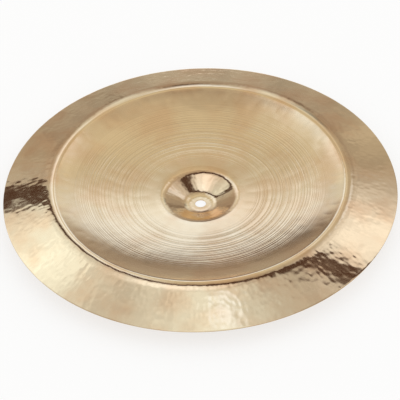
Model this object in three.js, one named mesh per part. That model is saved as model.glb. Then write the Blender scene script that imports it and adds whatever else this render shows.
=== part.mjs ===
// An 18 inch china cymbal: one disc of cast bronze, hammered and lathed, with no second piece.
// A small bell cups the mounting hole, a shallow bow rises from the bell to a sharp fold, and a straight
// flange turns back down to the rim. The disc lies bell down, the way it hangs on a stand.
// Millimetres, +Z up. The origin is the centre of the mounting hole, on the crown's outer face.
import * as THREE from "three";

// Diameters, from the hole outwards.
const holeDiameter = 12.7;
const crownLandDiameter = 20;
const bellDiameter = 94;
const bowDiameter = 332;
const discDiameter = 457.2;

// Bends. The crown bend leads into the bell's wall, and the shoulder lays that wall over into the bow.
// The fold is sharp on the bow's side of its crest and gentle on the flange's side.
const crownBendRadius = 29;
const shoulderRadius = 25;
const foldInnerRadius = 14;
const foldOuterRadius = 35;
const bellWallAngle = THREE.MathUtils.degToRad(24.5);
const bowEntryAngle = THREE.MathUtils.degToRad(5.4);
const flangeAngle = THREE.MathUtils.degToRad(20);

// The bow is nearly flat beside the bell and steepens towards the fold, as a power of the way out.
const bowRise = 24.6;
const bowCurvePower = 2.9;

// The wall thins from the crown to the rim.
const crownWall = 1.3;
const foldWall = 0.9;
const rimWall = 0.7;
const holeChamfer = 0.25;

// How finely each stretch of the outline is drawn.
const turnSegments = 96;
const crownBendSteps = 4;
const shoulderSteps = 4;
const bowSteps = 10;
const foldInnerSteps = 3;
const foldOuterSteps = 4;
const rimSteps = 3;

const bronze = new THREE.MeshStandardMaterial({ color: 0xd9b77e, roughness: 0.16, metalness: 1 });

// A station is a point of the upper face with the slope of the face there, as an angle.
const station = (radius, height, slope) => ({ radius, height, slope });

// A round stretch that starts at one station and turns to another slope. A positive bend cups upwards.
function turnTo(start, endSlope, radius, steps) {
  const side = Math.sign(endSlope - start.slope);
  return Array.from({ length: steps }, (_, step) => {
    const slope = start.slope + ((endSlope - start.slope) * (step + 1)) / steps;
    return station(
      start.radius + side * radius * (Math.sin(slope) - Math.sin(start.slope)),
      start.height - side * radius * (Math.cos(slope) - Math.cos(start.slope)),
      slope,
    );
  });
}

// A straight stretch that keeps its start's slope out to a radius.
function straightTo(start, radius) {
  return station(radius, start.height + (radius - start.radius) * Math.tan(start.slope), start.slope);
}

// A flat land round the hole, the crown bend, a straight wall, and the shoulder that ends at the bell's edge.
function bellStations() {
  const hole = station(holeDiameter / 2, crownWall, 0);
  const land = station(crownLandDiameter / 2, crownWall, 0);
  const bend = turnTo(land, bellWallAngle, crownBendRadius, crownBendSteps);
  const shoulderReach = shoulderRadius * (Math.sin(bellWallAngle) - Math.sin(bowEntryAngle));
  const wallEnd = straightTo(bend.at(-1), bellDiameter / 2 - shoulderReach);
  return [hole, land, ...bend, wallEnd, ...turnTo(wallEnd, bowEntryAngle, shoulderRadius, shoulderSteps)];
}

// The bow leaves the shoulder at its entry angle, and the rest of its rise comes late.
function bowStations(start) {
  const reach = bowDiameter / 2 - start.radius;
  const steadyRise = reach * Math.tan(start.slope);
  const lateRise = bowRise - steadyRise;
  return Array.from({ length: bowSteps }, (_, step) => {
    const share = (step + 1) / bowSteps;
    const gradient = (steadyRise + lateRise * bowCurvePower * share ** (bowCurvePower - 1)) / reach;
    return station(
      start.radius + share * reach,
      start.height + steadyRise * share + lateRise * share ** bowCurvePower,
      Math.atan(gradient),
    );
  });
}

// The fold turns over its crest and on to the flange, a plain cone as far as the rim's rounding.
function foldAndFlangeStations(start) {
  const inner = turnTo(start, 0, foldInnerRadius, foldInnerSteps);
  const outer = turnTo(inner.at(-1), -flangeAngle, foldOuterRadius, foldOuterSteps);
  const rimRounding = (rimWall / 2) * (1 - Math.sin(flangeAngle));
  return [...inner, ...outer, straightTo(outer.at(-1), discDiameter / 2 - rimRounding)];
}

// Wall thickness at a radius: one taper from the land to the fold, and another from there to the rim.
function wallAt(radius) {
  const { mapLinear } = THREE.MathUtils;
  const [landEdge, bowEdge, rimEdge] = [crownLandDiameter / 2, bowDiameter / 2, discDiameter / 2];
  if (radius < bowEdge) return mapLinear(radius, landEdge, bowEdge, crownWall, foldWall);
  return mapLinear(radius, bowEdge, rimEdge, foldWall, rimWall);
}

// The point under a station, at a depth along the wall's own normal.
function beneath({ radius, height, slope }, depth) {
  return new THREE.Vector2(radius + depth * Math.sin(slope), height - depth * Math.cos(slope));
}

// The outline runs out along the upper face, round the rim, back along the lower face and up the hole.
function discOutline() {
  const bell = bellStations();
  const bow = bowStations(bell.at(-1));
  const [hole, ...stations] = [...bell, ...bow, ...foldAndFlangeStations(bow.at(-1))];
  const upper = stations.map((at) => beneath(at, 0));
  const lower = stations.map((at) => beneath(at, wallAt(at.radius))).reverse();

  // The rim is rounded: half a turn about the middle of the wall's end.
  const rimMiddle = upper.at(-1).clone().add(lower[0]).divideScalar(2);
  const spoke = upper.at(-1).clone().sub(rimMiddle);
  const rim = Array.from({ length: rimSteps - 1 }, (_, step) =>
    spoke.clone().rotateAround(new THREE.Vector2(), (-Math.PI * (step + 1)) / rimSteps).add(rimMiddle),
  );

  const holeWall = [
    new THREE.Vector2(hole.radius + holeChamfer, 0),
    new THREE.Vector2(hole.radius, holeChamfer),
    new THREE.Vector2(hole.radius, hole.height - holeChamfer),
    new THREE.Vector2(hole.radius + holeChamfer, hole.height),
  ];
  return [...upper, ...rim, ...lower, ...holeWall];
}

// LatheGeometry turns an outline about Y, so the disc is stood up on Z afterwards. The outline closes on
// itself, and its order keeps the faces pointing outwards.
function cymbal() {
  const outline = discOutline();
  outline.push(outline[0].clone());
  const geometry = new THREE.LatheGeometry(outline.reverse(), turnSegments).rotateX(Math.PI / 2);
  const mesh = new THREE.Mesh(geometry, bronze);
  mesh.name = "cymbal";
  return mesh;
}

const part = new THREE.Group();
part.add(cymbal());

export default part;
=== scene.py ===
"""An 18 inch china cymbal in a light tent: one hammered and lathed bronze disc, lying bell down."""

import math
import random

import bmesh
import bpy
from bpy.props import FloatProperty, FloatVectorProperty, IntProperty, PointerProperty
from mathutils import Matrix, Vector, kdtree, noise


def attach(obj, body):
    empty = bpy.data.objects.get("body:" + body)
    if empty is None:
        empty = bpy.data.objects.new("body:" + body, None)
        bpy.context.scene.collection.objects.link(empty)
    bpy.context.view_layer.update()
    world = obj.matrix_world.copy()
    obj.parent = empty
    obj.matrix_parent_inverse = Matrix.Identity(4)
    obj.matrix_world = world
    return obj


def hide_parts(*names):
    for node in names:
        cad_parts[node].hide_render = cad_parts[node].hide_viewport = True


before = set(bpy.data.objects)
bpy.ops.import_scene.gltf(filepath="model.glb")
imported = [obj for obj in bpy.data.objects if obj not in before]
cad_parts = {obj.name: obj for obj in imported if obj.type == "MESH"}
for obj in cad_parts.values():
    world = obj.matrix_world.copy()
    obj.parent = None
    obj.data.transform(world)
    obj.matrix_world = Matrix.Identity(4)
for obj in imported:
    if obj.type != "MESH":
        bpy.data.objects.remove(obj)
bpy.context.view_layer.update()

bl_info = {
    "name": "China Cymbal",
    "version": (1, 0, 0),
    "blender": (4, 5, 0),
    "location": "View3D > Sidebar > Cymbal",
    "description": "Builds a hammered bronze china cymbal and the light tent it is photographed in",
    "category": "Add Mesh",
}

MM = 0.001


def linear(hex_colour):
    """A linear RGBA colour from an sRGB hex value such as "D9B77E"."""
    parts = (int(hex_colour[at : at + 2], 16) / 255 for at in (0, 2, 4))
    return (*(part / 12.92 if part <= 0.04045 else ((part + 0.055) / 1.055) ** 2.4 for part in parts), 1.0)


def length(name, description, millimetres):
    """The settings of a length property."""
    return dict(
        name=name, description=description, default=millimetres * MM, min=0.0, unit="LENGTH", precision=5
    )


def angle(name, description, degrees):
    """The settings of an angle property."""
    return dict(name=name, description=description, default=math.radians(degrees), subtype="ANGLE")


def colour(name, description, hex_colour):
    """The settings of a colour property."""
    return dict(
        name=name, description=description, default=linear(hex_colour), size=4, min=0.0, max=1.0,
        subtype="COLOR",
    )


def share(name, description, value, most=1.0):
    """The settings of a share, from nought to its most."""
    return dict(name=name, description=description, default=value, min=0.0, max=most, subtype="FACTOR")


def amount(name, description, value, least=0.0):
    """The settings of a plain number with no upper limit."""
    return dict(name=name, description=description, default=value, min=least)


class CymbalShape(bpy.types.PropertyGroup):
    """The disc's sizes, the same as the CAD part's."""

    hole: FloatProperty(**length("Hole", "Diameter of the mounting hole", 12.7))
    land: FloatProperty(**length("Land", "Diameter of the flat round the hole", 20))
    bell: FloatProperty(**length("Bell", "Diameter of the bell", 94))
    bow: FloatProperty(**length("Bow", "Diameter at which the bow meets the fold", 332))
    disc: FloatProperty(**length("Disc", "Diameter over the rim", 457.2))
    crown_bend: FloatProperty(**length("Crown bend", "Radius between the land and the bell's wall", 29))
    shoulder: FloatProperty(**length("Shoulder", "Radius between the bell's wall and the bow", 25))
    fold_inner: FloatProperty(**length("Fold, inner", "Radius on the bow's side of the crest", 14))
    fold_outer: FloatProperty(**length("Fold, outer", "Radius on the flange's side of the crest", 35))
    bell_slope: FloatProperty(**angle("Bell slope", "Slope of the bell's straight wall", 24.5))
    bow_slope: FloatProperty(**angle("Bow slope", "Slope of the bow where it leaves the bell", 5.4))
    flange_slope: FloatProperty(**angle("Flange slope", "Fall of the flange towards the rim", 20))
    bow_rise: FloatProperty(**length("Bow rise", "Height gained from the bell to the fold", 24.6))
    bow_power: FloatProperty(**amount("Bow power", "How late the bow steepens", 2.9, 1.0))
    crown_wall: FloatProperty(**length("Crown wall", "Thickness at the land", 1.3))
    fold_wall: FloatProperty(**length("Fold wall", "Thickness at the fold", 0.9))
    rim_wall: FloatProperty(**length("Rim wall", "Thickness at the rim", 0.7))
    chamfer: FloatProperty(**length("Chamfer", "Chamfer on both edges of the hole", 0.25))
    columns: IntProperty(**amount("Columns", "Faces round the bell, a third of the flange's", 288, 32))
    marks: FloatProperty(**share("Marks", "Depth of the hammer marks, as a share of the usual", 1.0, 3.0))


class CymbalFinish(bpy.types.PropertyGroup):
    """The bronze and how it was worked."""

    bronze: FloatVectorProperty(**colour("Bronze", "Colour of the buffed bronze", "E5CAA0"))
    warm_bronze: FloatVectorProperty(**colour("Warm bronze", "Colour of its redder patches", "DFBA8E"))
    # The groove colour is tarnish in the lathe's grooves and also painted shade of the grooves.
    groove_tarnish_and_shade: FloatVectorProperty(**colour("Groove", "Colour of the tarnish in the lathe's grooves", "9C7C52"))
    buffed: FloatProperty(**share("Buffed", "Roughness of the hammered and buffed bronze", 0.1))
    lathed: FloatProperty(**share("Lathed", "Roughness of the lathed and buffed bronze", 0.13))
    lathe_pitch: FloatProperty(**length("Lathe pitch", "Distance between lathe lines", 2.6))


class StudioStage(bpy.types.PropertyGroup):
    """The floor, the light tent and the camera."""

    floor: FloatVectorProperty(**colour("Floor", "Colour of the floor", "F7F6F4"))
    tent: FloatProperty(**length("Tent", "Radius of the light tent", 620))
    tent_light: FloatProperty(**amount("Tent light", "Strength of the tent's walls", 1.0))
    room_light: FloatProperty(**amount("Room light", "Strength of the even light on the floor", 1.0))
    lens: FloatProperty(**amount("Lens", "Focal length in millimetres on a 36 mm sensor", 186.1, 1.0))
    distance: FloatProperty(**length("Distance", "From the camera to the middle of the rim", 2400))
    elevation: FloatProperty(**angle("Elevation", "Height of the camera over the horizon", 41.77))
    dip: FloatProperty(**angle("Dip", "How far below the rim's middle the camera points", 0.2585))
    roll: FloatProperty(**angle("Roll", "Turn of the camera about its own line of sight", 2.5))


def add_node(tree, kind, inputs=None, **settings):
    """Adds a node with its settings. An input is a value, a socket, or a node whose first output it takes."""
    node = tree.nodes.new(kind)
    for name, value in settings.items():
        setattr(node, name, value)
    for key, value in (inputs or {}).items():
        if isinstance(value, bpy.types.Node):
            value = value.outputs[0]
        if isinstance(value, bpy.types.NodeSocket):
            tree.links.new(value, node.inputs[key])
        else:
            node.inputs[key].default_value = value
    return node


# The disc's shape


# A station is a point of the upper face with the slope of the face there: (radius, height, slope).
# These say how many steps each stretch of the upper and the lower face is drawn in, from the hole to the rim.
UPPER_STEPS = dict(land=2, bend=12, wall=12, shoulder=10, bow=48, inner=8, outer=10, flange=28)
LOWER_STEPS = dict(land=2, bend=5, wall=5, shoulder=6, bow=36, inner=6, outer=8, flange=18)
# The hammer reads the face's slope from finer steps in the bow and the fold.
HAMMER_STEPS = UPPER_STEPS | dict(bow=200, inner=40, outer=40)


def turn_to(start, end_slope, bend, steps):
    """Stations of a round stretch that starts at one station and turns to another slope."""
    radius, height, slope = start
    side = math.copysign(1, end_slope - slope)
    made = []
    for step in range(steps):
        turned = slope + (end_slope - slope) * (step + 1) / steps
        out = side * bend * (math.sin(turned) - math.sin(slope))
        up = side * bend * (math.cos(turned) - math.cos(slope))
        made.append((radius + out, height - up, turned))
    return made


def straight_to(start, end_radius, steps):
    """Stations of a straight stretch that keeps its slope out to a radius."""
    radius, height, slope = start
    reach = end_radius - radius
    rise = math.tan(slope)
    return [
        (radius + reach * at / steps, height + reach * at / steps * rise, slope) for at in range(1, steps + 1)
    ]


def bow_stations(shape, start, steps):
    """Stations of the bow, nearly flat beside the bell and steeper towards the fold."""
    radius, height, slope = start
    reach = shape.bow / 2 - radius
    steady = reach * math.tan(slope)
    late = shape.bow_rise - steady
    power = shape.bow_power
    made = []
    for step in range(1, steps + 1):
        part = step / steps
        gradient = (steady + late * power * part ** (power - 1)) / reach
        made.append((radius + part * reach, height + steady * part + late * part**power, math.atan(gradient)))
    return made


def upper_stations(shape, land, bend, wall, shoulder, bow, inner, outer, flange):
    """Stations all along the upper face, from the hole to the start of the rim's rounding."""
    hole = (shape.hole / 2 + shape.chamfer, shape.crown_wall, 0.0)
    made = [hole, *straight_to(hole, shape.land / 2, land)]
    made += turn_to(made[-1], shape.bell_slope, shape.crown_bend, bend)
    reach = shape.shoulder * (math.sin(shape.bell_slope) - math.sin(shape.bow_slope))
    made += straight_to(made[-1], shape.bell / 2 - reach, wall)
    made += turn_to(made[-1], shape.bow_slope, shape.shoulder, shoulder)
    made += bow_stations(shape, made[-1], bow)
    made += turn_to(made[-1], 0.0, shape.fold_inner, inner)
    made += turn_to(made[-1], -shape.flange_slope, shape.fold_outer, outer)
    rounding = shape.rim_wall / 2 * (1 - math.sin(shape.flange_slope))
    return made + straight_to(made[-1], shape.disc / 2 - rounding, flange)


def wall_at(shape, radius):
    """Wall thickness: one taper from the land to the fold, and another from there to the rim."""
    land, bow, rim = shape.land / 2, shape.bow / 2, shape.disc / 2
    if radius < land:
        return shape.crown_wall
    if radius < bow:
        return shape.crown_wall + (shape.fold_wall - shape.crown_wall) * (radius - land) / (bow - land)
    return shape.fold_wall + (shape.rim_wall - shape.fold_wall) * (radius - bow) / (rim - bow)


def beneath(shape, station):
    """The lower face's point under a station, along the wall's own normal."""
    radius, height, slope = station
    depth = wall_at(shape, radius)
    return radius + depth * math.sin(slope), height - depth * math.cos(slope)


SLICE_DOUBLINGS = 5  # the thin slice is copied round this many times, so columns are counted in 32s
MERGE_WITHIN = 1e-6


def spin_outline(bm, outline, columns):
    """Draws an outline of (radius, height) points in the XZ plane and turns it into a shell of revolution.

    The outline is spun through a thin slice, which is then copied round, twice as far each time.
    """
    corners = [bm.verts.new((outline[0][0], 0, outline[0][1]))]
    made = list(corners)
    for radius, height in outline[1:]:
        reached = bmesh.ops.extrude_vert_indiv(bm, verts=[corners[-1]])
        reached["verts"][0].co = (radius, 0, height)
        corners += reached["verts"]
        made += reached["verts"] + reached["edges"]
    old_verts = set(bm.verts) - set(corners)
    turn = math.tau / 2**SLICE_DOUBLINGS
    bmesh.ops.spin(
        bm, geom=made, cent=(0, 0, 0), axis=(0, 0, 1), dvec=(0, 0, 0), angle=turn,
        steps=columns // 2**SLICE_DOUBLINGS, use_merge=False, use_normal_flip=False, use_duplicate=False,
    )
    for doubling in range(SLICE_DOUBLINGS):
        verts = [vert for vert in bm.verts if vert not in old_verts]
        edges = {edge for vert in verts for edge in vert.link_edges}
        faces = {face for vert in verts for face in vert.link_faces}
        copied = bmesh.ops.duplicate(bm, geom=verts + list(edges) + list(faces))
        bmesh.ops.rotate(
            bm, cent=(0, 0, 0), matrix=Matrix.Rotation(turn * 2**doubling, 3, "Z"),
            verts=[item for item in copied["geom"] if isinstance(item, bmesh.types.BMVert)],
        )
    fresh = [vert for vert in bm.verts if vert not in old_verts]
    bmesh.ops.remove_doubles(bm, verts=fresh, dist=MERGE_WITHIN)


def in_order(bm):
    """The same shell with its verts and faces sorted by place, because a spin gives them chance numbers.

    A quad is split from its first corner, so it may only start at that one or at the one opposite.
    """
    verts = sorted(bm.verts, key=lambda vert: vert.co[:])
    ranks = {vert: rank for rank, vert in enumerate(verts)}
    faces = []
    for face in bm.faces:
        corners = [ranks[vert] for vert in face.verts]
        faces.append(min(corners, corners[2:] + corners[:2]))
    ordered = bmesh.new()
    made = [ordered.verts.new(vert.co) for vert in verts]
    for corners in sorted(faces):
        ordered.faces.new([made[rank] for rank in corners])
    bm.free()
    return ordered


# From this step of the bow outwards the disc has three times the faces round it, so that the flange can hold
# its marks.
FINE_FROM_BOW_STEP = 42
RIM_STEPS = 6
FLANGE_COLUMNS_SHARE = 3


def disc_mesh(shape):
    """The closed disc as a bmesh, before it is hammered."""
    upper = upper_stations(shape, **UPPER_STEPS)
    under = [beneath(shape, station) for station in upper_stations(shape, **LOWER_STEPS)]

    # The rim is half a turn about the middle of the wall's end.
    top, bottom = Vector(upper[-1][:2]), Vector(under[-1])
    middle = (top + bottom) / 2
    spoke = top - middle
    turns = [Matrix.Rotation(-math.pi * at / RIM_STEPS, 2) for at in range(1, RIM_STEPS + 1)]
    rim = [middle + turn @ spoke for turn in turns]

    # The fine outline runs from the bow over the fold to the rim, round it and a little way back below.
    before_bow = sum(UPPER_STEPS[stretch] for stretch in ("land", "bend", "wall", "shoulder"))
    split = 1 + before_bow + FINE_FROM_BOW_STEP
    fine = [station[:2] for station in upper[split:]] + [tuple(point) for point in rim]
    # The coarse outline runs from the bow in to the hole, down through it and out along the lower face.
    half_hole, top_height = shape.hole / 2, shape.crown_wall
    hole = [(half_hole, top_height - shape.chamfer), (half_hole, shape.chamfer)]
    coarse = [station[:2] for station in reversed(upper[:split])] + hole + under[:-1]

    bm = bmesh.new()
    spin_outline(bm, fine, shape.columns * FLANGE_COLUMNS_SHARE)
    spin_outline(bm, coarse, shape.columns)
    open_edges = [edge for edge in bm.edges if edge.is_boundary]
    halfway = (shape.bow + shape.disc) / 4
    for gap in (
        [edge for edge in open_edges if edge.verts[0].co.xy.length < halfway],
        [edge for edge in open_edges if edge.verts[0].co.xy.length >= halfway],
    ):
        bmesh.ops.bridge_loops(bm, edges=gap)
    bmesh.ops.recalc_face_normals(bm, faces=bm.faces)
    if any(not edge.is_manifold for edge in bm.edges):
        raise RuntimeError("the disc's shell isn't closed")
    return in_order(bm)


# Hammer marks, in millimetres: the ring of the disc that they cover, how far apart they are along a radius
# and round the disc, half their own size in those directions, their depth, and whether both faces show them.
# The flange was struck with a narrow hammer in rows, over broader blows that also reach the fold and bow. The
# bell has broad blows, which come first, and small ones on its inside, which come last.
HAMMER_MARKS = (
    dict(start=14, end=43, apart=(6.5, 7.0), half=(4.6, 4.6), depth=0.035, through=True),
    dict(start=58, end=120, apart=(14.0, 15.0), half=(11.0, 10.0), depth=0.07, through=True),
    dict(start=120, end=162, apart=(11.0, 13.0), half=(9.0, 9.5), depth=0.095, through=True),
    dict(start=177, end=229, apart=(11.0, 12.0), half=(9.0, 7.5), depth=0.075, through=True),
    dict(start=178, end=213, apart=(5.6, 4.8), half=(4.8, 3.4), depth=0.105, through=False),
    dict(start=213, end=229, apart=(5.6, 4.8), half=(5.2, 3.4), depth=0.06, through=False),
    dict(start=12, end=44, apart=(4.4, 4.4), half=(3.4, 3.0), depth=0.055, through=False),
)
WARP = ((95.0, 0.16), (38.0, 0.05))  # the disc's slow unevenness: how long its swells are, and how high
WARP_CONTRAST = 1.6
WARP_LAYERS_APART = 7.3  # so that the two swells don't rise and fall together
WARP_FREE = (50.0, 70.0)  # no warp inside the first radius, all of it from the second
LAND_FREE = 11.0  # the flat land, and the bend's first millimetre, aren't struck
HAMMER_SEED = 18
# How unevenly the blows fall. Their places stray by shares of the gaps between them.
STRAY_ROUND_SHARE = 0.3
STRAY_RADIAL_SHARE = 0.35
SIZE_SHARES = (0.8, 1.2)
DEPTH_SHARES = (0.5, 1.5)
REACH_SHARE = 1.25  # how far off a mark is looked for: a little more than the largest is


def scatter_marks(pattern, draw):
    """A kd-tree of one pattern's marks, the place, size and depth of each, and how far they can reach."""
    (ring_gap, round_gap), (half_radial, half_round) = pattern["apart"], pattern["half"]
    width = pattern["end"] - pattern["start"]
    rings = max(1, round(width / ring_gap))
    found = []
    for ring in range(rings):
        radius = pattern["start"] + (ring + 0.5) * width / rings
        count = round(math.tau * radius / round_gap)
        offset = draw.random()
        for at in range(count):
            turn = math.tau * (at + offset + draw.uniform(-STRAY_ROUND_SHARE, STRAY_ROUND_SHARE)) / count
            away = radius + draw.uniform(-STRAY_RADIAL_SHARE, STRAY_RADIAL_SHARE) * ring_gap
            size = draw.uniform(*SIZE_SHARES)
            place = Vector((away * math.cos(turn), away * math.sin(turn), 0)) * MM
            depth = pattern["depth"] * draw.uniform(*DEPTH_SHARES)
            found.append((place, half_radial * size * MM, half_round * size * MM, depth * MM))
    tree = kdtree.KDTree(len(found))
    for index, mark in enumerate(found):
        tree.insert(mark[0], index)
    tree.balance()
    return tree, found, REACH_SHARE * max(half_radial, half_round) * MM


def depth_of_marks(flat, marks):
    """How deep the deepest mark at a point of the plan is."""
    tree, found, reach = marks
    deepest = 0.0
    for _, index, _ in tree.find_range(flat, reach):
        place, half_radial, half_round, depth = found[index]
        outwards = place.normalized()
        offset = flat - place
        along = offset.dot(outwards)
        across = outwards.x * offset.y - outwards.y * offset.x
        spread = (along / half_radial) ** 2 + (across / half_round) ** 2
        if spread < 1:
            deepest = max(deepest, depth * (1 - spread))
    return deepest


def between(value, low, high):
    """0 below low, 1 above high, and a smooth step between them."""
    part = min(1.0, max(0.0, (value - low) / (high - low)))
    return part * part * (3 - 2 * part)


def hammer(bm, shape):
    """Presses the marks and the slow warp into the disc.

    Metal only moves down along the face's normal, so the disc stays inside its own size.
    """
    stations = upper_stations(shape, **HAMMER_STEPS)
    draw = random.Random(HAMMER_SEED)
    patterns = [(pattern["through"], scatter_marks(pattern, draw)) for pattern in HAMMER_MARKS]
    at = 0
    for vert in sorted(bm.verts, key=lambda v: v.co.xy.length):
        radius = vert.co.xy.length
        if radius < LAND_FREE * MM:
            continue
        while at < len(stations) - 2 and stations[at + 1][0] < radius:
            at += 1
        (near, near_height, near_slope), (far, far_height, far_slope) = stations[at], stations[at + 1]
        part = min(1.0, max(0.0, (radius - near) / (far - near)))
        slope = near_slope + (far_slope - near_slope) * part
        height = near_height + (far_height - near_height) * part
        upper_side = vert.co.z > height - shape.rim_wall / 2
        flat = Vector((vert.co.x, vert.co.y, 0))
        press = sum(depth_of_marks(flat, marks) for through, marks in patterns if through or upper_side)
        press *= shape.marks
        free = between(radius / MM, *WARP_FREE)
        for layer, (swell, rise) in enumerate(WARP):
            wave = noise.noise(flat / (swell * MM) + Vector((0, 0, WARP_LAYERS_APART * (layer + 1))))
            press += free * rise * MM * (0.5 + 0.5 * max(-1.0, min(1.0, wave * WARP_CONTRAST)))
        outwards = flat.normalized()
        normal = Vector((-math.sin(slope) * outwards.x, -math.sin(slope) * outwards.y, math.cos(slope)))
        vert.co -= normal * press


LATHED_FROM, LATHED_TO = 52.0, 163.0  # the lathed finish lies between these distances from the axis
SHARP_EDGE = math.radians(40)
MOST_TRIANGLES = 200_000


class CYMBAL_OT_disc(bpy.types.Operator):
    """Make the cymbal's disc, hammer it and give it its bronze"""

    bl_idname = "china_cymbal.disc"
    bl_label = "Make the Disc"

    def execute(self, context):
        shape, finish = context.scene.cymbal_shape, context.scene.cymbal_finish
        bm = disc_mesh(shape)
        hammer(bm, shape)
        for face in bm.faces:
            face.smooth = True
            away = face.calc_center_median().xy.length / MM
            face.material_index = int(LATHED_FROM < away < LATHED_TO)
        mesh = bpy.data.meshes.new("cymbal_disc")
        bm.to_mesh(mesh)
        bm.free()
        mesh.set_sharp_from_angle(angle=SHARP_EDGE)
        mesh.materials.append(buffed_bronze(finish))
        mesh.materials.append(lathed_bronze(finish))
        mesh.calc_loop_triangles()
        if len(mesh.loop_triangles) >= MOST_TRIANGLES:
            raise RuntimeError(f"the disc has {len(mesh.loop_triangles)} triangles")
        disc = bpy.data.objects.new("cymbal_disc", mesh)
        context.collection.objects.link(disc)
        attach(disc, "root")
        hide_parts("cymbal")
        return {"FINISHED"}


# The bronze


DIMPLE_SHARE = 0.85  # of the bump; the rest is the ripple
# Depths in millimetres.
DIMPLE_DEPTH = 0.04
GROOVE_DEPTH = 0.038
# The lathe's lines fade in from the bell and out again towards the fold, between these distances from the
# axis in millimetres.
LINES_FADE_IN = (56, 78)
LINES_FADE_OUT = (122, 156)
# How far a line strays from even spacing, in gaps, and how often per line its place and its strength change.
LINES_STRAY = 1.8
STRAYS_PER_LINE = 0.45
CHANGES_PER_LINE = 0.8


def per(millimetres):
    """The scale of a pattern whose features are so many millimetres across."""
    return 1 / (millimetres * MM)


def bronze_colour(tree, place, finish, redness):
    """Tin-rich bronze is never one colour: redder patches, 30 to 60 mm across, drift through it."""
    patches = add_node(tree, "ShaderNodeTexNoise", {"Vector": place, "Scale": per(45.5), "Detail": 3.0})
    how_red = add_node(
        tree, "ShaderNodeMapRange", {"Value": patches, "From Min": 0.4, "From Max": 0.7, "To Max": redness},
        interpolation_type="SMOOTHSTEP",
    )
    return add_node(
        tree, "ShaderNodeMix", {0: how_red, 6: tuple(finish.bronze), 7: tuple(finish.warm_bronze)},
        data_type="RGBA",
    ).outputs[2]


def smeared_gloss(tree, place, across, detail, roughness, shares):
    """Roughness that drifts between two shares of its usual value, as fingers and a cloth leave it."""
    smears = add_node(tree, "ShaderNodeTexNoise", {"Vector": place, "Scale": per(across), "Detail": detail})
    least, most = (roughness * part for part in shares)
    return add_node(
        tree, "ShaderNodeMapRange",
        {"Value": smears, "From Min": 0.3, "From Max": 0.75, "To Min": least, "To Max": most},
    ).outputs[0]


def bronze_material(name):
    """A new metal material, with its node tree and its shader."""
    material = bpy.data.materials.new(name)
    material.use_nodes = True
    shader = material.node_tree.nodes["Principled BSDF"]
    shader.inputs["Metallic"].default_value = 1.0
    return material, material.node_tree, shader


def buffed_bronze(finish):
    """Cast B20 bronze, hammered and then buffed bright.

    A clean mirror that the hammer has made uneven, so that reflections tear at their edges. Fingers and cloth
    leave soft dull patches.
    """
    material, tree, shader = bronze_material("bronze_hammered_and_buffed")
    place = add_node(tree, "ShaderNodeTexCoord").outputs["Object"]
    tint = bronze_colour(tree, place, finish, redness=1.0)
    gloss = smeared_gloss(tree, place, 16.7, 4.0, finish.buffed, (0.8, 1.35))
    # The smallest dimples, about 5 mm across, and a peening ripple of about 3 mm.
    dimples = add_node(
        tree, "ShaderNodeTexVoronoi", {"Vector": place, "Scale": per(5), "Randomness": 0.9},
        feature="SMOOTH_F1",
    )
    ripple = add_node(tree, "ShaderNodeTexNoise", {"Vector": place, "Scale": per(3.125), "Detail": 1.0})
    relief = add_node(tree, "ShaderNodeMath", {0: dimples, 1: DIMPLE_SHARE}, operation="MULTIPLY")
    relief = add_node(
        tree, "ShaderNodeMath", {0: ripple, 1: 1 - DIMPLE_SHARE, 2: relief}, operation="MULTIPLY_ADD"
    )
    bump = add_node(
        tree, "ShaderNodeBump", {"Height": relief, "Strength": 1.0, "Distance": DIMPLE_DEPTH * MM}
    )
    tree.links.new(tint, shader.inputs["Base Color"])
    tree.links.new(gloss, shader.inputs["Roughness"])
    tree.links.new(bump.outputs[0], shader.inputs["Normal"])
    return material


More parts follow.
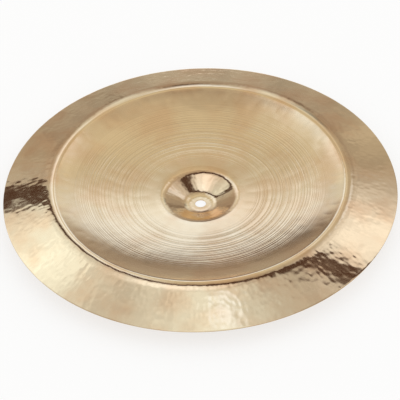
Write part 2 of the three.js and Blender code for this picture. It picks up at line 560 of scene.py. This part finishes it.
def lathed_bronze(finish):
    """Cast B20 bronze, hammered, lathed and then buffed.

    The lathe's lines run round the disc and spread every highlight along the radius. Buffing has rounded
    them, so the bow is satin-bright and still shows a blurred picture of what stands round it.
    """
    material, tree, shader = bronze_material("bronze_lathed_and_buffed")
    place = add_node(tree, "ShaderNodeTexCoord").outputs["Object"]
    flat = add_node(tree, "ShaderNodeVectorMath", {0: place, 1: (1, 1, 0)}, operation="MULTIPLY")
    away = add_node(tree, "ShaderNodeVectorMath", {0: flat}, operation="LENGTH").outputs["Value"]
    tint = bronze_colour(tree, place, finish, redness=0.7)

    # The lathe's own lines lie 0.5 to 1 mm apart, too fine to show at the picture's size, so they are drawn
    # about 2.6 mm apart, as its broader passes. Their spacing varies, and some are much weaker than others.
    along = add_node(tree, "ShaderNodeMath", {0: away, 1: 1 / finish.lathe_pitch}, operation="MULTIPLY")
    stray = add_node(
        tree, "ShaderNodeTexNoise", {"W": along, "Scale": STRAYS_PER_LINE, "Detail": 1.0},
        noise_dimensions="1D",
    )
    turns = add_node(tree, "ShaderNodeMath", {0: stray, 1: LINES_STRAY, 2: along}, operation="MULTIPLY_ADD")
    turns = add_node(tree, "ShaderNodeMath", {0: turns, 1: math.tau}, operation="MULTIPLY")
    lines = add_node(tree, "ShaderNodeMath", {0: turns}, operation="SINE")
    strength = add_node(
        tree, "ShaderNodeTexNoise", {"W": along, "Scale": CHANGES_PER_LINE, "Detail": 2.0},
        noise_dimensions="1D",
    )
    strength = add_node(
        tree, "ShaderNodeMapRange", {"Value": strength, "From Min": 0.35, "From Max": 0.6, "To Min": 0.35}
    )
    # The tool bit deeper where the hammer had left the metal high.
    bite = add_node(tree, "ShaderNodeTexNoise", {"Vector": place, "Scale": per(62.5), "Detail": 1.0})
    bite = add_node(
        tree, "ShaderNodeMapRange",
        {"Value": bite, "From Min": 0.35, "From Max": 0.65, "To Min": 0.6, "To Max": 1.2},
    )
    fades = [
        add_node(
            tree, "ShaderNodeMapRange", {"Value": away, "From Min": none * MM, "From Max": full * MM},
            interpolation_type="SMOOTHSTEP",
        )
        for none, full in (LINES_FADE_IN, reversed(LINES_FADE_OUT))
    ]
    for factor in (strength, *fades, bite):
        lines = add_node(tree, "ShaderNodeMath", {0: lines, 1: factor}, operation="MULTIPLY")
    grooves = add_node(
        tree, "ShaderNodeBump", {"Height": lines, "Strength": 1.0, "Distance": GROOVE_DEPTH * MM}
    )
    # Polish and tarnish stay in the grooves and darken them. The same darkening is also painted shade, the
    # grooves' own shadow drawn into the colour.
    held_tarnish_and_shade = add_node(
        tree, "ShaderNodeMapRange", {"Value": lines, "From Min": 0.0, "From Max": -0.8, "To Max": 0.16}
    )
    tint = add_node(
        tree, "ShaderNodeMix", {0: held_tarnish_and_shade, 6: tint, 7: tuple(finish.groove_tarnish_and_shade)}, data_type="RGBA"
    ).outputs[2]
    gloss = smeared_gloss(tree, place, 22.2, 3.0, finish.lathed, (0.85, 1.15))
    outwards = add_node(tree, "ShaderNodeVectorMath", {0: flat}, operation="NORMALIZE")
    shader.inputs["Anisotropic"].default_value = 0.6
    tree.links.new(tint, shader.inputs["Base Color"])
    tree.links.new(gloss, shader.inputs["Roughness"])
    tree.links.new(grooves.outputs[0], shader.inputs["Normal"])
    tree.links.new(outwards.outputs[0], shader.inputs["Tangent"])
    return material


# The stage

# Each light is a strength and an sRGB hue: the tent's even glow, what the floor throws back on its foot, and
# its soft panels. These are placed in degrees on the tent's own plan, x to the right and y to the back of its
# top. A panel with a negative strength is a shaded patch.
SOFT_WHITE = "F8FFEE"
PALE_DAYLIGHT = "D4E4FF"
DAYLIGHT = "C8E4FF"
HIGH_CLOUD = "CFE0FF"
PALE_SKY = "B5CFFF"
SKYLIGHT = "AACCFF"
DEEP_SKY = "98BCFF"
SHADED = "FFFFFF"
TENT_GLOW = (0.45, "FFF4EE")
TENT_FOOT = (0.08, "E0FFE8")
TENT_PANELS = (
    # The walls: the back, the left, the front and the right, and the back's two corners.
    dict(at=(0, 40), half=(45, 30), light=(0.4, SOFT_WHITE)),
    dict(at=(-50, 15), half=(45, 45), light=(1.5, DAYLIGHT)),
    dict(at=(0, -20), half=(45, 35), light=(1.1, DAYLIGHT)),
    dict(at=(50, 15), half=(40, 35), light=(1.2, PALE_DAYLIGHT)),
    dict(at=(-50, 60), half=(20, 25), light=(0.1, SOFT_WHITE)),
    dict(at=(50, 60), half=(20, 25), light=(0.15, SOFT_WHITE)),
    # The light that the bow shows, with one beside it on each side.
    dict(at=(0, 55), half=(12, 14), light=(1.3, SKYLIGHT)),
    dict(at=(-15, 60), half=(12, 20), light=(0.7, DAYLIGHT)),
    dict(at=(15, 60), half=(12, 20), light=(0.7, DAYLIGHT)),
    # The light along the seam, and on the top above the bell.
    dict(at=(-15, 30), half=(12, 20), light=(1.0, SKYLIGHT)),
    dict(at=(-18, 45), half=(12, 11), turn=-25, light=(1.15, PALE_SKY)),
    dict(at=(14, 38), half=(6, 8), turn=25, light=(0.8, PALE_SKY)),
    dict(at=(6, -15), half=(7, 5), light=(0.8, DEEP_SKY)),
    dict(at=(-8, 4), half=(26, 16), light=(1.3, HIGH_CLOUD)),
    dict(at=(32, 33.5), half=(7, 11), light=(0.9, PALE_SKY)),
    # Folds of the cloth that keep the light off.
    dict(at=(0, 44), half=(12, 7), light=(-0.17, SHADED)),
    dict(at=(20, 55), half=(9, 6), light=(-0.35, SHADED)),
    dict(at=(27, 69), half=(6, 7), light=(-0.2, SHADED)),
    dict(at=(-23, 77), half=(5, 7), light=(-0.2, SHADED)),
    dict(at=(-2, 67), half=(7, 9), light=(-0.3, SHADED)),
)
# The tent's dark seam, as (x, near edge, far edge) on the same plan.
SEAM = (
    (-54, 36, 46.5), (-50, 34.5, 46.5), (-47, 33.5, 45.5), (-40, 34.6, 43.5), (-35, 34.6, 42),
    (-21, 23.9, 34), (-14, 17.5, 28), (-7, 12.5, 21), (0, 9.5, 17.5), (8, 6, 16), (17, 3.5, 14.5),
    (25, -3.5, 13), (29, -2.5, 10.5), (32, -1, 8.5), (35, 0, 7), (40, -1, 6.5), (45, -2, 6), (70, -3, 3),
)
SEAM_SOFTNESS = 1.0
# Where the seam gapes a little and lets light through, as (x, y, half its size).
SEAM_GAPS = ((-52.5, 38.3, 1.5), (-51.0, 45.6, 1.5))
SEAM_LIGHT = (0.1, "FFCBB8")
PLAN_REACH = 90.0  # degrees from the top to the tent's foot
FOOT_FROM, FOOT_TO = 76, 88  # degrees from the top, between which the foot's light comes in
CREASES = 0.14  # how much the cloth's creases lighten and darken it
CREASES_APART = 50  # millimetres
NEXT_TO_NOTHING = 0.001  # keeps the plan's sum from a division by nought at the very top


def lit_by(light):
    """The linear colour of a light given as its strength and its sRGB hue."""
    strength, hue = light
    return tuple(strength * part for part in linear(hue)[:3])


def seam_edge(tree, across, spots):
    """One edge of the tent's seam as a node's output: its y for an x of the plan."""
    run = add_node(
        tree, "ShaderNodeMapRange", {"Value": across, "From Min": -PLAN_REACH, "From Max": PLAN_REACH}
    )
    course = add_node(tree, "ShaderNodeFloatCurve", {"Value": run})
    curve = course.mapping.curves[0]
    spots = [((x + PLAN_REACH) / 2 / PLAN_REACH, (y + PLAN_REACH) / 2 / PLAN_REACH) for x, y in spots]
    curve.points[0].location = (0, spots[0][1])
    curve.points[1].location = (1, spots[-1][1])
    for spot in spots:
        curve.points.new(*spot)
    course.mapping.update()
    return add_node(
        tree, "ShaderNodeMapRange", {"Value": course, "To Min": -PLAN_REACH, "To Max": PLAN_REACH}
    ).outputs[0]


def soft_ellipse(tree, plan, at, half, turn=0):
    """A node whose output is 1 in the middle of an ellipse on the tent's plan and fades to 0 at its edge."""
    local = add_node(
        tree, "ShaderNodeMapping",
        {"Vector": plan, "Location": (*at, 0), "Rotation": (0, 0, math.radians(turn)), "Scale": (*half, 1)},
        vector_type="TEXTURE",
    )
    near = add_node(tree, "ShaderNodeTexGradient", {0: local}, gradient_type="SPHERICAL")
    return add_node(
        tree, "ShaderNodeMapRange", {"Value": near.outputs["Fac"]}, interpolation_type="SMOOTHSTEP"
    )


def tent_cloth(stage):
    """Translucent nylon of a light tent, lit from outside: soft panels of light, and one dark seam.

    The tent's plan has its top in the middle, and a place lies as far from that as its degrees from the top.
    """
    material = bpy.data.materials.new("tent_nylon_lit_from_outside")
    material.use_nodes = True
    material.cycles.emission_sampling = "NONE"
    tree = material.node_tree
    tree.nodes.remove(tree.nodes["Principled BSDF"])
    place = add_node(tree, "ShaderNodeTexCoord").outputs["Object"]
    way = add_node(tree, "ShaderNodeVectorMath", {0: place}, operation="NORMALIZE")
    height = add_node(tree, "ShaderNodeSeparateXYZ", {0: way}).outputs["Z"]
    from_top = add_node(tree, "ShaderNodeMath", {0: height}, operation="ARCCOSINE")
    reach = add_node(tree, "ShaderNodeMath", {0: from_top}, operation="SINE")
    reach = add_node(tree, "ShaderNodeMath", {0: reach, 1: NEXT_TO_NOTHING}, operation="MAXIMUM")
    spread = add_node(tree, "ShaderNodeMath", {0: from_top, 1: reach}, operation="DIVIDE")
    spread = add_node(tree, "ShaderNodeMath", {0: spread, 1: math.degrees(1)}, operation="MULTIPLY")
    way = add_node(tree, "ShaderNodeVectorMath", {0: way, 1: (1, 1, 0)}, operation="MULTIPLY")
    plan = add_node(tree, "ShaderNodeVectorMath", {0: way, "Scale": spread}, operation="SCALE")

    # The floor throws some light back on the tent's foot.
    foot = add_node(
        tree, "ShaderNodeMapRange",
        {"Value": from_top, "From Min": math.radians(FOOT_FROM), "From Max": math.radians(FOOT_TO)},
        interpolation_type="SMOOTHSTEP",
    )
    glow = add_node(
        tree, "ShaderNodeVectorMath", {0: foot, 1: lit_by(TENT_FOOT), 2: lit_by(TENT_GLOW)},
        operation="MULTIPLY_ADD",
    )
    for panel in TENT_PANELS:
        soft = soft_ellipse(tree, plan, panel["at"], panel["half"], panel.get("turn", 0))
        glow = add_node(
            tree, "ShaderNodeVectorMath", {0: soft, 1: lit_by(panel["light"]), 2: glow},
            operation="MULTIPLY_ADD",
        )
    # No shaded patch is darker than the seam.
    glow = add_node(tree, "ShaderNodeVectorMath", {0: glow, 1: lit_by(SEAM_LIGHT)}, operation="MAXIMUM")
    # The cloth hangs in soft creases, which the hammered flange breaks up into a shimmer.
    creases = add_node(
        tree, "ShaderNodeTexNoise", {"Vector": place, "Scale": per(CREASES_APART), "Detail": 2.0}
    )
    creases = add_node(
        tree, "ShaderNodeMapRange",
        {"Value": creases, "From Min": 0.3, "From Max": 0.7, "To Min": 1 - CREASES, "To Max": 1 + CREASES},
    )
    glow = add_node(tree, "ShaderNodeVectorMath", {0: glow, "Scale": creases}, operation="SCALE")

    across = add_node(tree, "ShaderNodeSeparateXYZ", {0: plan})
    near = seam_edge(tree, across.outputs["X"], [(x, edge) for x, edge, _ in SEAM])
    far = seam_edge(tree, across.outputs["X"], [(x, edge) for x, _, edge in SEAM])
    inside = []
    for first, second in ((across.outputs["Y"], near), (far, across.outputs["Y"])):
        beyond = add_node(tree, "ShaderNodeMath", {0: first, 1: second}, operation="SUBTRACT")
        softened = add_node(
            tree, "ShaderNodeMapRange",
            {"Value": beyond, "From Min": -SEAM_SOFTNESS, "From Max": SEAM_SOFTNESS},
            interpolation_type="SMOOTHSTEP",
        )
        inside.append(softened)
    seam = add_node(tree, "ShaderNodeMath", {0: inside[0], 1: inside[1]}, operation="MULTIPLY")
    for x, y, half in SEAM_GAPS:
        open_here = soft_ellipse(tree, plan, (x, y), (half, half))
        seam = add_node(tree, "ShaderNodeMath", {0: seam, 1: open_here}, operation="SUBTRACT", use_clamp=True)
    glow = add_node(
        tree, "ShaderNodeMix", {0: seam, 4: glow, 5: lit_by(SEAM_LIGHT)}, data_type="VECTOR"
    ).outputs[1]
    light = add_node(tree, "ShaderNodeEmission", {"Color": glow, "Strength": stage.tent_light})
    tree.links.new(light.outputs[0], tree.nodes["Material Output"].inputs["Surface"])
    return material


WHITE_SHARE = 0.7  # how much of what the camera sees of the floor is plain white


def floor_paint(stage):
    """Matt white board.

    Camera and mirror rays see it mostly as plain white. The rest is its own shading, which keeps the shadow.
    """
    material = bpy.data.materials.new("floor_matt_white_board")
    material.use_nodes = True
    tree = material.node_tree
    shader = tree.nodes["Principled BSDF"]
    shader.inputs["Base Color"].default_value = stage.floor
    shader.inputs["Roughness"].default_value = 0.9
    shader.inputs["Specular IOR Level"].default_value = 0.0
    path = add_node(tree, "ShaderNodeLightPath")
    seen = path.outputs["Is Camera Ray"]
    for ray in ("Is Glossy Ray", "Is Transmission Ray"):
        seen = add_node(tree, "ShaderNodeMath", {0: seen, 1: path.outputs[ray]}, operation="MAXIMUM")
    seen = add_node(tree, "ShaderNodeMath", {0: seen, 1: WHITE_SHARE}, operation="MULTIPLY")
    white = add_node(tree, "ShaderNodeEmission", {"Color": (1, 1, 1, 1), "Strength": 1.0})
    mixed = add_node(tree, "ShaderNodeMixShader", {0: seen, 1: shader, 2: white})
    tree.links.new(mixed.outputs[0], tree.nodes["Material Output"].inputs["Surface"])
    return material


def stage_object(context, name, bm, material):
    """Adds a mesh that belongs to the stage."""
    mesh = bpy.data.meshes.new(name)
    for face in bm.faces:
        face.smooth = True
    bm.to_mesh(mesh)
    bm.free()
    mesh.materials.append(material)
    made = bpy.data.objects.new(name, mesh)
    context.collection.objects.link(made)
    return made


FLOOR_RADIUS = 20.0
FLOOR_SIDES = 64
TENT_COLUMNS, TENT_ROWS = 96, 64


class CYMBAL_OT_stage(bpy.types.Operator):
    """Make the floor, the light tent, the room's even light and the camera"""

    bl_idname = "china_cymbal.stage"
    bl_label = "Make the Stage"

    def execute(self, context):
        scene, stage = context.scene, context.scene.cymbal_stage
        scene.view_settings.view_transform = "Standard"

        bm = bmesh.new()
        bmesh.ops.create_circle(bm, cap_ends=True, segments=FLOOR_SIDES, radius=FLOOR_RADIUS)
        stage_object(context, "floor", bm, floor_paint(stage))

        # Only the bronze's mirror sees the tent. Everything else gets the room's even light.
        bm = bmesh.new()
        bmesh.ops.create_uvsphere(bm, u_segments=TENT_COLUMNS, v_segments=TENT_ROWS, radius=stage.tent)
        bmesh.ops.bisect_plane(
            bm, geom=bm.verts[:] + bm.edges[:] + bm.faces[:], plane_co=(0, 0, 0), plane_no=(0, 0, 1),
            clear_inner=True,
        )
        tent = stage_object(context, "light_tent", bm, tent_cloth(stage))
        tent.visible_camera = tent.visible_diffuse = tent.visible_transmission = False
        tent.visible_shadow = tent.visible_volume_scatter = False

        world = bpy.data.worlds.new("even_white_room")
        scene.world = world
        world.use_nodes = True
        world.node_tree.nodes["Background"].inputs["Color"].default_value = (1, 1, 1, 1)
        world.node_tree.nodes["Background"].inputs["Strength"].default_value = stage.room_light
        world.cycles_visibility.glossy = False

        # The camera looks from the front, at first straight at the middle of the rim, then rolls and dips.
        rim_height = upper_stations(scene.cymbal_shape, **UPPER_STEPS)[-1][1]
        sight = Vector((0, math.cos(stage.elevation), -math.sin(stage.elevation)))
        right, up = Vector((1, 0, 0)), Vector((0, math.sin(stage.elevation), math.cos(stage.elevation)))
        place = Vector((0, 0, rim_height)) - sight * stage.distance
        across = math.cos(stage.roll) * right - math.sin(stage.roll) * up
        upright = math.sin(stage.roll) * right + math.cos(stage.roll) * up
        dipped = math.cos(stage.dip) * sight - math.sin(stage.dip) * upright
        upright = math.cos(stage.dip) * upright + math.sin(stage.dip) * sight
        turn = Matrix((across, upright, -dipped)).transposed()
        lens = bpy.data.cameras.new("camera")
        lens.lens = stage.lens
        lens.clip_start, lens.clip_end = 0.1, 100.0
        camera = bpy.data.objects.new("camera", lens)
        camera.matrix_world = Matrix.Translation(place) @ turn.to_4x4()
        context.collection.objects.link(camera)
        scene.camera = camera
        return {"FINISHED"}


class CYMBAL_PT_panel(bpy.types.Panel):
    """Lists the cymbal's settings and the operators that build it"""

    bl_idname = "CYMBAL_PT_panel"
    bl_label = "China Cymbal"
    bl_space_type = "VIEW_3D"
    bl_region_type = "UI"
    bl_category = "Cymbal"

    def draw(self, context):
        for settings, operator in (
            (("cymbal_shape", "cymbal_finish"), CYMBAL_OT_disc),
            (("cymbal_stage",), CYMBAL_OT_stage),
        ):
            box = self.layout.box()
            for group in (getattr(context.scene, name) for name in settings):
                for name in group.__annotations__:
                    box.prop(group, name)
            box.operator(operator.bl_idname)


CLASSES = (CymbalShape, CymbalFinish, StudioStage, CYMBAL_OT_disc, CYMBAL_OT_stage, CYMBAL_PT_panel)
GROUPS = {"cymbal_shape": CymbalShape, "cymbal_finish": CymbalFinish, "cymbal_stage": StudioStage}


def register():
    for kind in CLASSES:
        bpy.utils.register_class(kind)
    for name, group in GROUPS.items():
        setattr(bpy.types.Scene, name, PointerProperty(type=group))


def unregister():
    for name in GROUPS:
        delattr(bpy.types.Scene, name)
    for kind in reversed(CLASSES):
        bpy.utils.unregister_class(kind)


def main():
    register()
    bpy.ops.china_cymbal.disc()
    bpy.ops.china_cymbal.stage()


if __name__ == "__main__":
    main()
